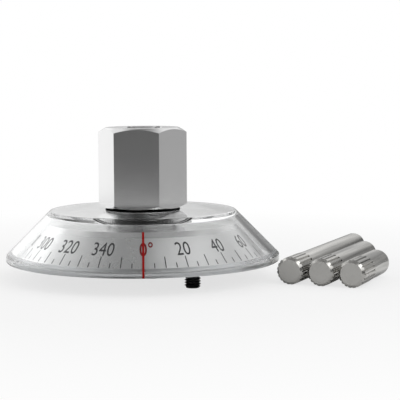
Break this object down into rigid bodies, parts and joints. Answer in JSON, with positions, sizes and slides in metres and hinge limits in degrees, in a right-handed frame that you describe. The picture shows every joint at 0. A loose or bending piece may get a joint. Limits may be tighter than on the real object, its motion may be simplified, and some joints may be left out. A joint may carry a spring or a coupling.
{
  "type": "torque angle gauge",
  "caption": "Torque angle gauge: hexagon drive spindle with a graduated conical dial that turns under a clear conical cover, with a threaded stud and loose reaction rods.",
  "frame": {"origin": "on the spindle's axis, at the flat end of the male drive square", "axes": "+Z along the spindle's axis, up out of the female square; -Y towards the red line on the cover"},
  "size_m": [0.1485, 0.1066, 0.0584],
  "materials": {
    "base_alloy": "turned",
    "clear_cover": "clear acrylic",
    "bronze": "turned bronze",
    "black_steel": "black oxide",
    "spring_steel": "phosphated spring steel",
    "plated_steel": "satin plated steel",
    "dial_alloy": "satin turned",
    "screw_steel": "zinc plated",
    "black_rubber": "matt",
    "ball_steel": "polished",
    "rod_steel": "drawn bar"
  },
  "bodies": {
    "base": {"base_plate": "base_alloy", "cover": "clear_cover", "neck_seal": "black_rubber", "bush": "bronze", "rod_stud": "black_steel", "low_washer": "spring_steel"},
    "spindle": {"spindle": "plated_steel", "dial": "dial_alloy", "dial_screws": "screw_steel", "top_washer": "spring_steel", "wave_washer": "spring_steel", "circlip": "spring_steel", "detent_spring": "spring_steel"},
    "ball": {"detent_ball": "ball_steel"},
    "long_rod": {"long_rod": "rod_steel"},
    "medium_rod": {"medium_rod": "rod_steel"},
    "short_rod": {"short_rod": "rod_steel"}
  },
  "joints": [
    {"name": "spindle_turn", "type": "hinge", "parent": "base", "child": "spindle", "pos_m": [0, 0, 0], "axis": [0, 0, 1], "continuous": true},
    {"name": "ball_press", "type": "slide", "parent": "spindle", "child": "ball", "axis": [-0.9885, 0.1513, 0], "range_m": [0, 0.0007], "stiffness_N_per_m": 800, "springref_m": -0.0005, "deforming": ["detent_spring"]},
    {"name": "long_rod_lift", "type": "slide", "parent": "base", "child": "long_rod", "axis": [0, 0, 1], "range_m": [0, 0.12]},
    {"name": "medium_rod_lift", "type": "slide", "parent": "base", "child": "medium_rod", "axis": [0, 0, 1], "range_m": [0, 0.12]},
    {"name": "short_rod_lift", "type": "slide", "parent": "base", "child": "short_rod", "axis": [0, 0, 1], "range_m": [0, 0.12]}
  ]
}
